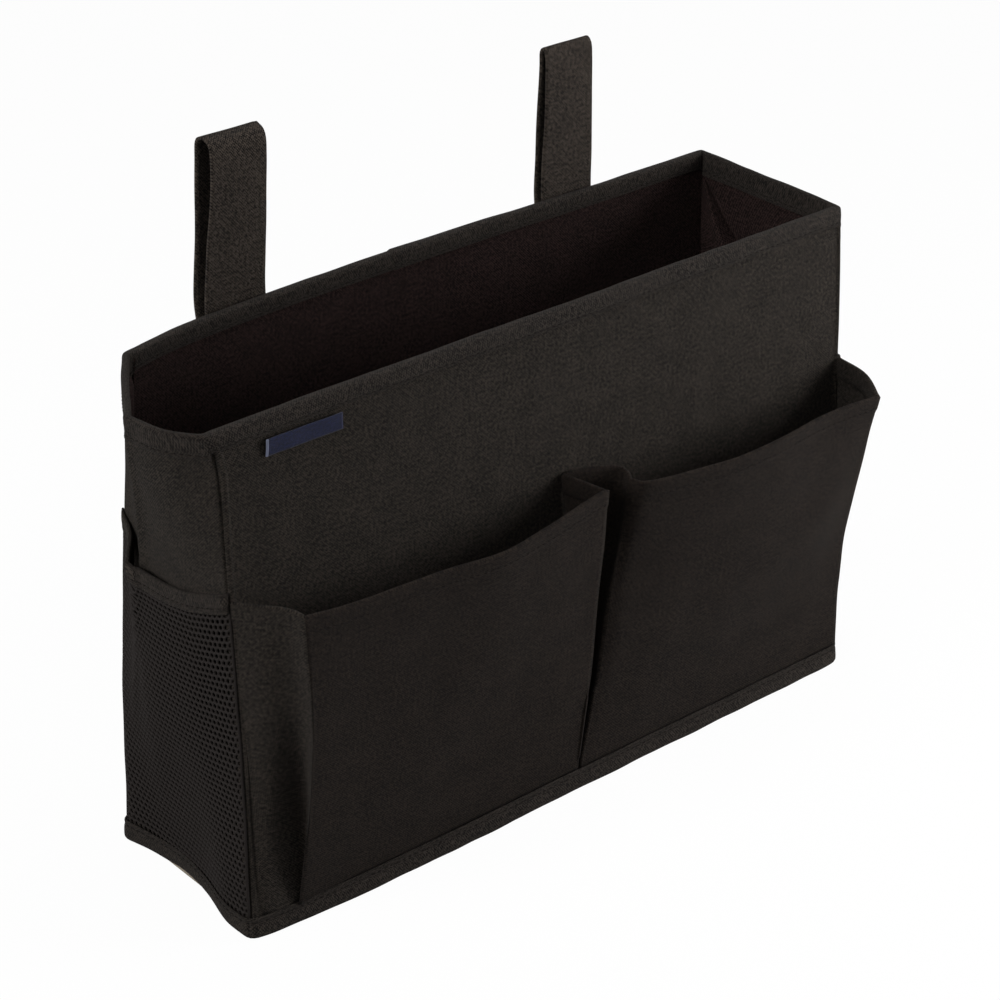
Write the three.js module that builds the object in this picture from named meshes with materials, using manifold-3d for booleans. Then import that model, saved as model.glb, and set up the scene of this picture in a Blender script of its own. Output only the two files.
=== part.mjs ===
import * as THREE from "three";
import { TessellateModifier } from "three/addons/modifiers/TessellateModifier.js";
import { mergeVertices } from "three/addons/utils/BufferGeometryUtils.js";
import Module from "manifold-3d";

// A bedside caddy sewn from black polyester cloth, with two strap loops on its back rim, two pleated
// pockets on its front and a net pocket on each end.
// Millimetres, +Z up. The front faces -Y, and the origin is the middle of the underside.

// Box of cloth, outside to outside
const BODY_WIDTH = 330;
const BODY_DEPTH = 95;
const BODY_HEIGHT = 228;
const CLOTH = 0.8;
const BOARD = 1.6;
const BOARD_END_INSET = 16;
const BOARD_TOP_INSET = 4;

// Room left between sewn layers
const SEAM_GAP = 0.3;

// Tape folded over the rim and under the base
const TAPE = 0.8;
const RIM_TAPE_HEIGHT = 10;
const BASE_TAPE_HEIGHT = 9.5;
const BASE_TAPE_FOOT = 5;
const TAPE_CORNER_RADIUS = 1.5;

// Net pockets on the ends
const NET = 1.2;
const NET_TOP = 156;
const NET_SAG = 6;
const NET_BULGE = 10;
const NET_COLUMNS = 6;
const NET_ROWS = 24;
const NET_STRAND = 1.8;
const NET_EDGE = 2.5;
const NET_FACET = 18;
const NET_SPLITS = 6;
const NET_TAPE = 1.8;
const NET_TAPE_HEIGHT = 9;
const NET_TAPE_STEPS = 16;

// Pleated pockets on the front
const POCKET_HEIGHT = 146;
const POCKET_GAPE = 26;
const POCKET_HEM = 8;
const LEFT_POCKET_END_INSET = 18;
const RIGHT_POCKET_END_INSET = 9;
const RIGHT_POCKET_END_LEAN = 4;
const DIVIDER_X = 4;
const DIVIDER_SEAMS = 2.4;
const LEFT_POCKET_FOOT_GAP = 3.5;
const LEFT_POCKET_SPREAD = 5.5;
const RIGHT_POCKET_FOOT_GAP = 7;
const RIGHT_POCKET_SPREAD = 8;
const GUSSET_SEAM_INSET = 2;
const GUSSET_FOLD_GAP = 0.7;
const GUSSET_STEPS = 4;

// Blank label under the rim tape
const LABEL_WIDTH = 35;
const LABEL_HEIGHT = 8;
const LABEL_THICKNESS = 0.6;
const LABEL_END_INSET = 24;

// Straps on the back
const STRAP_SPACING = 176;
const STRAP_WIDTH = 30;
const STRAP = 1.2;
const STRAP_RISE = 70;
const STRAP_DROP = 50;
const STRAP_LOOP_GAP = 10;
const STRAP_FLEX_HEIGHT = 2;
const TONGUE_BEND_DROP = 8;
const GRIP_TAPE = 1;
const GRIP_TAPE_LENGTH = 38;
const GRIP_TAPE_MARGIN = 2;

// Sizes that follow from these
const OUTER_TAPE = SEAM_GAP + TAPE;
const BOARDED_WALL = 2 * CLOTH + BOARD + 2 * SEAM_GAP;
const END_WALL = 2 * CLOTH + SEAM_GAP;
const INSIDE_WIDTH = BODY_WIDTH - 2 * (END_WALL + SEAM_GAP);
const INSIDE_DEPTH = BODY_DEPTH - 2 * (BOARDED_WALL + SEAM_GAP);
const WALL_HEIGHT = BODY_HEIGHT - 2 * OUTER_TAPE;
const POCKET_FOOT = BASE_TAPE_HEIGHT + SEAM_GAP;
const POCKET_FACE = BODY_DEPTH / 2 + SEAM_GAP + CLOTH;
const POCKET_TILT = Math.asin(POCKET_GAPE / POCKET_HEIGHT);

const wasm = await Module();
wasm.setup();

const clothFinish = { color: 0x2d2926, roughness: 0.9, metalness: 0 };
const liningFinish = { color: 0x1f1b1a, roughness: 0.92, metalness: 0 };
const tapeFinish = { color: 0x2f2b28, roughness: 0.85, metalness: 0 };
const webbingFinish = { color: 0x2e2a27, roughness: 0.88, metalness: 0 };
const gripFinish = { color: 0x191716, roughness: 0.95, metalness: 0 };
const netFinish = { color: 0x221e1d, roughness: 0.8, metalness: 0 };
const boardFinish = { color: 0x8a8072, roughness: 0.95, metalness: 0 };
const labelFinish = { color: 0x3b4465, roughness: 0.75, metalness: 0 };

function piece(name, geometry, finish) {
  const mesh = new THREE.Mesh(geometry, new THREE.MeshStandardMaterial(finish));
  mesh.name = name;
  return mesh;
}

function outlineOf(points) {
  return new THREE.Shape(points.map(([x, y]) => new THREE.Vector2(x, y)));
}

// A rectangle whose lower edge is on the X axis, or one centred on the origin.
function rectangle(width, height) {
  return outlineOf([[-width / 2, 0], [width / 2, 0], [width / 2, height], [-width / 2, height]]);
}

function centred(width, depth) {
  const [x, y] = [width / 2, depth / 2];
  return outlineOf([[-x, -y], [x, -y], [x, y], [-x, y]]);
}

function rounded(width, depth, radius) {
  const outline = new THREE.Shape();
  const x = width / 2 - radius;
  const y = depth / 2 - radius;
  outline.absarc(x, y, radius, 0, Math.PI / 2);
  outline.absarc(-x, y, radius, Math.PI / 2, Math.PI);
  outline.absarc(-x, -y, radius, Math.PI, 1.5 * Math.PI);
  outline.absarc(x, -y, radius, 1.5 * Math.PI, 2 * Math.PI);
  outline.closePath();
  return outline;
}

// A flat sheet lying in XY, its underside at z = 0.
function lying(outline, thickness) {
  const settings = { depth: thickness, bevelEnabled: false, curveSegments: 4 };
  return new THREE.ExtrudeGeometry(outline, settings);
}

// A flat sheet standing in XZ, its outer face at y = 0 and its inner face at y = thickness.
function standing(outline, thickness) {
  return lying(outline, thickness).rotateX(Math.PI / 2).translate(0, thickness, 0);
}

// A band drawn from the side in YZ and run along X, centred.
function band(outline, width) {
  const settings = { depth: width, bevelEnabled: false, curveSegments: 8 };
  const sideways = new THREE.Matrix4().makeBasis(
    new THREE.Vector3(0, 1, 0),
    new THREE.Vector3(0, 0, 1),
    new THREE.Vector3(1, 0, 0),
  );
  const geometry = new THREE.ExtrudeGeometry(outline, settings);
  return geometry.translate(0, 0, -width / 2).applyMatrix4(sideways);
}

function solid(geometry) {
  geometry.deleteAttribute("normal");
  geometry.deleteAttribute("uv");
  const merged = mergeVertices(geometry);
  const mesh = new wasm.Mesh({
    numProp: 3,
    vertProperties: new Float32Array(merged.attributes.position.array),
    triVerts: new Uint32Array(merged.index.array),
  });
  return new wasm.Manifold(mesh);
}

function surface(manifold) {
  const mesh = manifold.getMesh();
  const geometry = new THREE.BufferGeometry();
  geometry.setAttribute("position", new THREE.BufferAttribute(mesh.vertProperties, 3));
  geometry.setIndex(new THREE.BufferAttribute(mesh.triVerts, 1));
  return geometry;
}

// A sheet of cloth over a grid of points on its outer face, where u runs to the right and v runs up,
// seen from outside. toInside is the step from the outer face to the inner one.
function curvedSheet(point, toInside, columns, rows) {
  const stride = columns + 1;
  const innerFace = stride * (rows + 1);
  const outer = [];
  const inner = [];
  for (let row = 0; row <= rows; row++) {
    for (let column = 0; column <= columns; column++) {
      const [u, v] = [column / columns, row / rows];
      outer.push(point(u, v));
      inner.push(point(u, v).add(toInside(u, v)));
    }
  }
  const triangles = [];
  for (let row = 0; row < rows; row++) {
    for (let column = 0; column < columns; column++) {
      const corner = row * stride + column;
      const [right, above, across] = [corner + 1, corner + stride, corner + stride + 1];
      for (const [a, b, c] of [[corner, right, across], [corner, across, above]]) {
        triangles.push(a, b, c, innerFace + a, innerFace + c, innerFace + b);
      }
    }
  }
  const border = [];
  for (let column = 0; column < columns; column++) border.push(column);
  for (let row = 0; row < rows; row++) border.push(row * stride + columns);
  for (let column = columns; column > 0; column--) border.push(rows * stride + column);
  for (let row = rows; row > 0; row--) border.push(row * stride);
  border.forEach((from, index) => {
    const to = border[(index + 1) % border.length];
    triangles.push(from, innerFace + from, innerFace + to, from, innerFace + to, to);
  });
  return new THREE.BufferGeometry().setFromPoints([...outer, ...inner]).setIndex(triangles);
}

// Box: four walls and a base of cloth and lining. The long walls and the base hold a board.

function wall(name, outerWidth, liningWidth, boardWidth) {
  const group = new THREE.Group();
  const panel = standing(rectangle(outerWidth, WALL_HEIGHT), CLOTH);
  group.add(piece(name + "_panel", panel, clothFinish));
  let depth = CLOTH + SEAM_GAP;
  if (boardWidth) {
    const board = standing(rectangle(boardWidth, WALL_HEIGHT - BOARD_TOP_INSET), BOARD);
    group.add(piece(name + "_board", board.translate(0, depth, 0), boardFinish));
    depth += BOARD + SEAM_GAP;
  }
  const lining = standing(rectangle(liningWidth, WALL_HEIGHT), CLOTH);
  group.add(piece(name + "_lining", lining.translate(0, depth, 0), liningFinish));
  group.position.z = OUTER_TAPE;
  return group;
}

function walls() {
  const boardWidth = BODY_WIDTH - 2 * BOARD_END_INSET;
  const front = wall("front", BODY_WIDTH, INSIDE_WIDTH, boardWidth);
  front.position.y = -BODY_DEPTH / 2;
  const back = wall("back", BODY_WIDTH, INSIDE_WIDTH, boardWidth);
  back.position.y = BODY_DEPTH / 2;
  back.rotation.z = Math.PI;
  const sideWidth = BODY_DEPTH - 2 * (CLOTH + SEAM_GAP);
  const left = wall("left_side", sideWidth, INSIDE_DEPTH);
  const right = wall("right_side", sideWidth, INSIDE_DEPTH);
  return [front, back, ...onEnds(left, right)];
}

// Turns two groups drawn like a front wall to face left and right, at the ends of the box.
function onEnds(left, right) {
  left.position.x = -BODY_WIDTH / 2;
  left.rotation.z = -Math.PI / 2;
  right.position.x = BODY_WIDTH / 2;
  right.rotation.z = Math.PI / 2;
  return [left, right];
}

function base() {
  const group = new THREE.Group();
  const margin = 2 * (BASE_TAPE_FOOT + SEAM_GAP);
  const panel = lying(centred(BODY_WIDTH - margin, BODY_DEPTH - margin), CLOTH);
  group.add(piece("base_panel", panel, clothFinish));
  const inside = centred(INSIDE_WIDTH, INSIDE_DEPTH);
  const boardFoot = CLOTH + SEAM_GAP;
  const board = lying(inside, BOARD).translate(0, 0, boardFoot);
  group.add(piece("base_board", board, boardFinish));
  const lining = lying(inside, CLOTH).translate(0, 0, boardFoot + BOARD + SEAM_GAP);
  group.add(piece("base_lining", lining, liningFinish));
  return group;
}

// Bound edges: each tape is one closed loop, folded over the rim or under the base

function tapeBlock(mouthWidth, mouthDepth, height) {
  const width = BODY_WIDTH + 2 * OUTER_TAPE;
  const depth = BODY_DEPTH + 2 * OUTER_TAPE;
  const outline = rounded(width, depth, TAPE_CORNER_RADIUS);
  outline.holes.push(centred(mouthWidth, mouthDepth));
  return solid(lying(outline, height));
}

function rimBinding() {
  const block = tapeBlock(INSIDE_WIDTH - 2 * TAPE, INSIDE_DEPTH - 2 * TAPE, RIM_TAPE_HEIGHT);
  const channel = centred(BODY_WIDTH + 2 * SEAM_GAP, BODY_DEPTH + 2 * SEAM_GAP);
  channel.holes.push(centred(INSIDE_WIDTH, INSIDE_DEPTH));
  const walls = solid(lying(channel, RIM_TAPE_HEIGHT).translate(0, 0, -TAPE));
  const mesh = piece("rim_binding", surface(block.subtract(walls)), tapeFinish);
  mesh.position.z = BODY_HEIGHT - RIM_TAPE_HEIGHT;
  return mesh;
}

function baseBinding() {
  const footWidth = BODY_WIDTH - 2 * BASE_TAPE_FOOT;
  const footDepth = BODY_DEPTH - 2 * BASE_TAPE_FOOT;
  const block = tapeBlock(footWidth, footDepth, BASE_TAPE_HEIGHT);
  const clear = centred(BODY_WIDTH + 2 * SEAM_GAP, BODY_DEPTH + 2 * SEAM_GAP);
  const walls = solid(lying(clear, BASE_TAPE_HEIGHT).translate(0, 0, TAPE));
  return piece("base_binding", surface(block.subtract(walls)), tapeFinish);
}

// Net pockets: a flat net on each end wall, swelled outwards and let down along its bound top edge

function netPocket(name) {
  const width = BODY_DEPTH - 2 * (CLOTH + SEAM_GAP);
  const foot = BASE_TAPE_HEIGHT + SEAM_GAP;
  const height = NET_TOP - NET_TAPE_HEIGHT - SEAM_GAP - foot;

  // Where a point of the flat pocket goes; share is its height as a part of the net's height.
  function swelled(x, y, share, above) {
    const rise = 1 - (2 * x / width) ** 2;
    const z = foot + share * (height - NET_SAG * rise) + above;
    return new THREE.Vector3(x, y - SEAM_GAP - NET_BULGE * rise * share, z);
  }

  const flat = standing(netOutline(width, height), NET).translate(0, -NET, 0);
  const net = new TessellateModifier(NET_FACET, NET_SPLITS).modify(flat);
  const places = net.attributes.position;
  for (let index = 0; index < places.count; index++) {
    const share = places.getZ(index) / height;
    const place = swelled(places.getX(index), places.getY(index), share, 0);
    places.setXYZ(index, place.x, place.y, place.z);
  }
  net.computeVertexNormals();
  const binding = curvedSheet(
    (u, v) => swelled((u - 0.5) * width, -NET_TAPE, 1, SEAM_GAP + v * NET_TAPE_HEIGHT),
    () => new THREE.Vector3(0, NET_TAPE, 0),
    NET_TAPE_STEPS,
    1,
  );
  const group = new THREE.Group();
  group.add(piece(name + "_net", net, netFinish));
  group.add(piece(name + "_net_binding", binding, tapeFinish));
  return group;
}

// The flat net: a border with a point at every column and row, and rows of diamond holes that
// interlock. A hole on a side border is cut off there.
function netOutline(width, height) {
  const border = [];
  for (let step = 0; step < NET_COLUMNS; step++) border.push([step / NET_COLUMNS, 0]);
  for (let step = 0; step < NET_ROWS; step++) border.push([1, step / NET_ROWS]);
  for (let step = NET_COLUMNS; step > 0; step--) border.push([step / NET_COLUMNS, 1]);
  for (let step = NET_ROWS; step > 0; step--) border.push([0, step / NET_ROWS]);
  const outline = outlineOf(border.map(([u, v]) => [(u - 0.5) * width, v * height]));
  const reach = width / 2 - NET_EDGE;
  const cellX = reach / NET_COLUMNS;
  const cellZ = (height - 2 * NET_EDGE) / (NET_ROWS + 1);
  const open = 1 - NET_STRAND * Math.hypot(cellX, cellZ) / (2 * cellX * cellZ);
  const [holeX, holeZ] = [open * cellX, open * cellZ];
  for (let row = 0; row < NET_ROWS; row++) {
    const z = NET_EDGE + cellZ * (row + 1);
    const onBorder = row % 2;
    for (let column = 0; column < NET_COLUMNS + onBorder; column++) {
      const x = -reach + cellX * (2 * column + 1 - onBorder);
      const hole = [[x - holeX, z], [x, z + holeZ], [x + holeX, z], [x, z - holeZ]];
      outline.holes.push(outlineOf(hole.filter(([place]) => Math.abs(place) < reach + SEAM_GAP)));
    }
  }
  return outline;
}

// Front pockets: each front leans out from its bottom seam, its top edge turned in as a hem, and a
// gusset joins each of its side edges to the front panel

// A point of a side edge, on the outer face of the leaning pocket front, at a share of its height.
function pocketEdge(edge, share) {
  const along = share * POCKET_HEIGHT;
  return new THREE.Vector3(
    THREE.MathUtils.lerp(edge.foot, edge.top, share),
    -POCKET_FACE - along * Math.sin(POCKET_TILT),
    POCKET_FOOT + along * Math.cos(POCKET_TILT),
  );
}

function pocketFront(name, leftEdge, rightEdge) {
  const hemFace = CLOTH + SEAM_GAP;
  const hemFoot = POCKET_HEIGHT - POCKET_HEM;
  const fold = outlineOf([
    [0, 0],
    [CLOTH, 0],
    [CLOTH, POCKET_HEIGHT - CLOTH],
    [hemFace, POCKET_HEIGHT - CLOTH],
    [hemFace, hemFoot],
    [hemFace + CLOTH, hemFoot],
    [hemFace + CLOTH, POCKET_HEIGHT],
    [0, POCKET_HEIGHT],
  ]);
  const cut = outlineOf([
    [leftEdge.foot, 0],
    [rightEdge.foot, 0],
    [rightEdge.top, POCKET_HEIGHT],
    [leftEdge.top, POCKET_HEIGHT],
  ]);
  const cloth = solid(band(fold, 2 * BODY_WIDTH));
  const pattern = solid(standing(cut, BODY_DEPTH).translate(0, -BODY_DEPTH / 2, 0));
  const mesh = piece(name, surface(cloth.intersect(pattern)), clothFinish);
  mesh.position.set(0, -POCKET_FACE, POCKET_FOOT);
  mesh.rotation.x = POCKET_TILT;
  return mesh;
}

// side is -1 for a gusset at the left of its pocket front and 1 for one at the right.
function gusset(name, seamX, edge, side) {
  const middle = new THREE.Vector3(0, CLOTH / 2, 0);
  const apart = new THREE.Vector3(side * GUSSET_FOLD_GAP, 0, 0);
  const fold = (share) => pocketEdge(edge, share).add(middle).add(apart);
  const seam = (share) => new THREE.Vector3(seamX, -POCKET_FACE, fold(share).z).add(middle);
  function toInside(u, v) {
    const run = fold(v).sub(seam(v)).setLength(CLOTH).multiplyScalar(-side);
    return new THREE.Vector3(-run.y, run.x, 0);
  }
  function point(u, v) {
    const share = side < 0 ? u : 1 - u;
    return seam(v).lerp(fold(v), share).addScaledVector(toInside(u, v), -0.5);
  }
  return piece(name, curvedSheet(point, toInside, 1, GUSSET_STEPS), clothFinish);
}

function pockets() {
  const end = BODY_WIDTH / 2;
  const seam = end - GUSSET_SEAM_INSET;
  const leftEnd = LEFT_POCKET_END_INSET - end;
  const rightEnd = end - RIGHT_POCKET_END_INSET;
  const leftOuter = { foot: leftEnd, top: leftEnd };
  const leftFoot = DIVIDER_X - LEFT_POCKET_FOOT_GAP;
  const leftInner = { foot: leftFoot, top: leftFoot + LEFT_POCKET_SPREAD };
  const rightFoot = DIVIDER_X + RIGHT_POCKET_FOOT_GAP;
  const rightInner = { foot: rightFoot, top: rightFoot + RIGHT_POCKET_SPREAD };
  const rightOuter = { foot: rightEnd + RIGHT_POCKET_END_LEAN, top: rightEnd };
  return [
    pocketFront("left_pocket_front", leftOuter, leftInner),
    pocketFront("right_pocket_front", rightInner, rightOuter),
    gusset("left_pocket_outer_gusset", -seam, leftOuter, -1),
    gusset("left_pocket_inner_gusset", DIVIDER_X - DIVIDER_SEAMS / 2, leftInner, 1),
    gusset("right_pocket_inner_gusset", DIVIDER_X + DIVIDER_SEAMS / 2, rightInner, -1),
    gusset("right_pocket_outer_gusset", seam, rightOuter, 1),
  ];
}

function label() {
  const mesh = piece("label", standing(rectangle(LABEL_WIDTH, LABEL_HEIGHT), LABEL_THICKNESS), labelFinish);
  mesh.position.set(
    -BODY_WIDTH / 2 + LABEL_END_INSET + LABEL_WIDTH / 2,
    -BODY_DEPTH / 2 - SEAM_GAP - LABEL_THICKNESS,
    BODY_HEIGHT - RIM_TAPE_HEIGHT - SEAM_GAP - LABEL_HEIGHT,
  );
  return mesh;
}

// Straps: one length of webbing each. It is sewn down the back, stands up over the rim, folds over
// and comes down behind as a tongue, where hook tape holds it to loop tape

function strap(name) {
  const front = OUTER_TAPE + SEAM_GAP;
  const loopTape = front + STRAP + SEAM_GAP;
  const hookTape = loopTape + GRIP_TAPE + SEAM_GAP;
  const tongue = hookTape + GRIP_TAPE + SEAM_GAP;
  const foldRadius = STRAP_LOOP_GAP / 2 + STRAP;
  const foldY = front + foldRadius;
  const foldZ = STRAP_RISE - foldRadius;
  const behind = front + 2 * foldRadius;

  const upright = (y, thickness, bottom, top) =>
    outlineOf([[y, bottom], [y + thickness, bottom], [y + thickness, top], [y, top]]);
  const standingPly = new THREE.Shape();
  standingPly.moveTo(front + STRAP, STRAP_FLEX_HEIGHT + SEAM_GAP);
  standingPly.absarc(foldY, foldZ, foldRadius - STRAP, Math.PI, 0, true);
  standingPly.absarc(foldY, foldZ, foldRadius, 0, Math.PI, false);
  standingPly.lineTo(front, STRAP_FLEX_HEIGHT + SEAM_GAP);
  standingPly.closePath();
  const tonguePly = outlineOf([
    [tongue, -STRAP_DROP],
    [tongue + STRAP, -STRAP_DROP],
    [tongue + STRAP, -TONGUE_BEND_DROP],
    [behind, foldZ - SEAM_GAP],
    [behind - STRAP, foldZ - SEAM_GAP],
    [tongue, -TONGUE_BEND_DROP],
  ]);
  const anchor = upright(front, STRAP, -STRAP_DROP, STRAP_FLEX_HEIGHT - SEAM_GAP);
  const gripFoot = -STRAP_DROP + GRIP_TAPE_MARGIN;
  const gripWidth = STRAP_WIDTH - 2 * GRIP_TAPE_MARGIN;
  const loops = upright(loopTape, GRIP_TAPE, gripFoot, gripFoot + GRIP_TAPE_LENGTH);
  const hooks = upright(hookTape, GRIP_TAPE, gripFoot, gripFoot + GRIP_TAPE_LENGTH);

  const group = new THREE.Group();
  group.add(piece(name + "_strap_anchor", band(anchor, STRAP_WIDTH), webbingFinish));
  group.add(piece(name + "_strap", band(standingPly, STRAP_WIDTH), webbingFinish));
  group.add(piece(name + "_tongue", band(tonguePly, STRAP_WIDTH), webbingFinish));
  group.add(piece(name + "_loop_tape", band(loops, gripWidth), gripFinish));
  group.add(piece(name + "_hook_tape", band(hooks, gripWidth), gripFinish));
  group.position.set(0, BODY_DEPTH / 2, BODY_HEIGHT);
  return group;
}

function straps() {
  const left = strap("left");
  left.position.x = -STRAP_SPACING / 2;
  const right = strap("right");
  right.position.x = STRAP_SPACING / 2;
  return [left, right];
}

const caddy = new THREE.Group();
caddy.add(...walls(), base(), rimBinding(), baseBinding());
caddy.add(...onEnds(netPocket("left"), netPocket("right")));
caddy.add(...pockets(), label(), ...straps());

export default caddy;
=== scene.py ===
import math

import bmesh
import bpy
import numpy as np
from mathutils import Matrix, Quaternion, Vector, noise


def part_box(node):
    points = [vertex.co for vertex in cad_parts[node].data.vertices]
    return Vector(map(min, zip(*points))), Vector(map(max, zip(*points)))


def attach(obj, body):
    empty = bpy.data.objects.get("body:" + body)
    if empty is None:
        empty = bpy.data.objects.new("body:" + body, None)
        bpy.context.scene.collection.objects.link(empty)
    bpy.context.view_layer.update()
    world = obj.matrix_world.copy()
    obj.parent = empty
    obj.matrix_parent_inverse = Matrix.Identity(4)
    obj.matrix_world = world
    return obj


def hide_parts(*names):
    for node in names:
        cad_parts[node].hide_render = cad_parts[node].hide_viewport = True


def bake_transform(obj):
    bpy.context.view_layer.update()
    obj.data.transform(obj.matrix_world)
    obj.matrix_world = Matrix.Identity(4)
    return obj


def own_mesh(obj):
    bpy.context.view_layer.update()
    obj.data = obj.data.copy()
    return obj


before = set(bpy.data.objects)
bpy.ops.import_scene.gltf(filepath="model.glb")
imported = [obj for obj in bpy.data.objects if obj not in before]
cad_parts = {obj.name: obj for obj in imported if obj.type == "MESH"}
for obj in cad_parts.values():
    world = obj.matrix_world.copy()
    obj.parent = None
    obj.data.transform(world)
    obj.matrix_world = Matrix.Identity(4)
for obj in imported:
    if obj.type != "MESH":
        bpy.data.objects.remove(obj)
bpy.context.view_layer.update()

# Outer walls. Four panels of black polyester cloth, plain woven, sewn together down the corners with the
# seams turned in. Board keeps the two long ones flat and the ends hang soft. The left end has been
# pressed in at its back corner, so its rim bows out and a fold runs down it.

MM = 0.001
CLOTH = 0.8 * MM
WALL_LENGTH = 226 * MM
FRONT_WIDTH = 330 * MM
END_WIDTH = 95 * MM
FRONT_COLUMNS = 200
END_COLUMNS = 100
WALL_ROWS = 77
FINE_STEPS = 160
EVEN_SHARE = 0.2
WELD = MM / 1000

# Corner seams: how far the cloth turns in, how far aside it goes as it does, and the welt beside it.
SEAM_TURN = 1.2 * MM
SEAM_SLIT = 0.52
SEAM_WIDTH = 0.9 * MM
SEAM_WELT = 0.8 * MM
WELT_PLACE = 2.6 * SEAM_WIDTH
SEAM_ALLOWANCE = 1.2 * MM

# Soft swells of the walls, the front left corner drawn out at the rim, and the fold in the left end.
SWELL_SIZE = 60 * MM
RIPPLE_SIZE = 22 * MM
RIPPLE_SHARE = 0.3
FLARE_CORNER = -165 * MM, -47 * MM
FLARE_REACH = 20 * MM
FLARE_START = 206 * MM
FLARE_RUN = 22 * MM
FLARE_WAY = 1, 0.15, 0
RIM_FLARE = 6 * MM
FOLD_RIM = 0.585
FOLD_FOOT = -0.06
FOLD_START = 0.25
FOLD_RUN = 0.4
FOLD_HEIGHT = 3 * MM
FOLD_WIDTH = 3 * MM

# The front's foot bulges under the base tape, and the board holds it flat above the tape.
BOARD_FACE = -48.2 * MM
BOARD_FOOT = 9.5 * MM
FOOT_TURN = 5 * MM

# Corner seams, from the foot to the rim, in millimetres.
front_left = [(-167, -47.4, 1), (-164.4, -47.5, 76), (-163.8, -47.5, 151), (-162.4, -47.2, 226)]
front_right = [(163.6, -49.8, 1), (164.6, -47.5, 76), (164.5, -47.5, 151), (163, -47.2, 226)]
back_right = [(165, 47.5, 1), (165.5, 47.5, 76), (166, 47.5, 151), (168, 47.5, 226)]
back_left = [(-166.4, 48.4, 1), (-160.8, 46, 76), (-154.8, 43, 151), (-148.8, 37.4, 226)]

# What each panel does between its corner seams, from the foot to the rim.
front_run = [
    [(-152, -49.8, 1), (-95, -52.8, 1), (0, -51.6, 1), (145, -50.7, 1)],
    *[[(-150, -47.6, z), (-95, -47.7, z), (0, -47.8, z), (145, -47.6, z)] for z in (76, 151, 226)],
]
right_run = [
    [(165.4, -20, 1), (165.4, 20, 1)],
    [(168.6, -20, 76), (169.4, 20, 76)],
    [(169.6, -20, 151), (171, 20, 151)],
    [(165, -16, 226), (166.6, 16, 226)],
]
back_run = [
    [(120, 47.6, 1), (0, 47.8, 1), (-75, 47.8, 1), (-120, 47.6, 1)],
    [(120, 47.8, 76), (0, 48.5, 76), (-75, 48.2, 76), (-120, 47.2, 76)],
    [(120, 47.8, 151), (0, 49, 151), (-75, 48.2, 151), (-120, 46, 151)],
    [(120, 47.8, 226), (0, 49.4, 226), (-75, 48, 226), (-120, 44.4, 226)],
]
left_run = [
    [(-162.2, 30, 1), (-160.8, 8, 2.4), (-162.3, -12, 1.6), (-167, -31, 1)],
    [(-162.6, 30, 76), (-164.6, 12, 76), (-165.2, -10, 76), (-165, -30, 76)],
    [(-157.6, 28.5, 151), (-164.4, 13, 151), (-167.4, -10, 151), (-166.6, -30, 151)],
    [(-160, 20.6, 226), (-170.2, 3.4, 226), (-178.2, -14, 226), (-175.8, -30, 226)],
]


def through(points, share):
    """The point at a share of the way along a smooth curve through a few points."""
    spans = len(points) - 1
    span = min(int(share * spans), spans - 1)
    t = share * spans - span
    b, c = points[span], points[span + 1]
    a = points[span - 1] if span else 2 * b - c
    d = points[span + 2] if span + 2 <= spans else 2 * c - b
    return b + 0.5 * t * (c - a + t * (2 * a - 5 * b + 4 * c - d + t * (3 * (b - c) + d - a)))


def reached(points):
    """How far along a line of points each of them lies."""
    return np.concatenate(([0], np.cumsum(np.linalg.norm(np.diff(points, axis=0), axis=1))))


def points_at(goals, places, points):
    """What lies at some goals along a line, from what lies at its places."""
    return np.column_stack([np.interp(goals, places, points[:, axis]) for axis in range(3)])


def along(points, shares):
    """Points at shares of the length of a smooth curve through a few points."""
    fine = np.array([through(points, step / FINE_STEPS) for step in range(FINE_STEPS + 1)])
    places = reached(fine)
    return points_at(np.asarray(shares) * places[-1], places, fine)


def loft(sections, across, up):
    """Rows of points on the smooth surface through a few sections in millimetres, lowest first."""
    tracks = [np.array(track, float) * MM for track in zip(*sections)]
    return np.array([along([through(track, v) for track in tracks], across) for v in up])


def unit(vectors):
    """The vectors, each with a length of one."""
    return vectors / np.linalg.norm(vectors, axis=-1, keepdims=True)


def outward(rows):
    """The direction out of the cloth at each point of its rows."""
    return unit(np.cross(np.gradient(rows, axis=1), np.gradient(rows, axis=0)))


def ruffled(rows, size, depth, seed):
    """The rows with soft swells and hollows of about that size and depth."""
    shift = Vector((seed, 2 * seed, 3 * seed))
    swell = [[noise.noise(Vector(point) / size + shift) for point in row] for row in rows]
    return rows + outward(rows) * depth * np.array(swell)[..., None]


def close_at_ends(count):
    """Shares from 0 to 1 that lie closer together towards both ends."""
    even = np.linspace(0, 1, count + 1)
    return EVEN_SHARE * even + (1 - EVEN_SHARE) * (0.5 - 0.5 * np.cos(math.pi * even))


def seamed(rows, across, width, height):
    """The rows with both side edges turned in at their seams, a welt beside each, and the allowances."""
    out = outward(rows)
    aside = unit(np.gradient(rows, axis=1))
    inward = np.where(across < 0.5, SEAM_SLIT, -SEAM_SLIT)[None, :, None] * aside - out
    from_seam = np.minimum(across, 1 - across) * width
    turn = SEAM_TURN * np.exp(-((from_seam / SEAM_WIDTH) ** 2))
    welt = height * np.exp(-(((from_seam - WELT_PLACE) / SEAM_WIDTH) ** 2))
    rows = rows + inward * turn[None, :, None] + out * welt[None, :, None]
    allowance = SEAM_ALLOWANCE / width
    start = rows[:, :1] + SEAM_ALLOWANCE * inward[:, :1]
    end = rows[:, -1:] + SEAM_ALLOWANCE * inward[:, -1:]
    shares = np.concatenate(([-allowance], across, [1 + allowance]))
    return np.concatenate((start, rows, end), axis=1), shares


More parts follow.
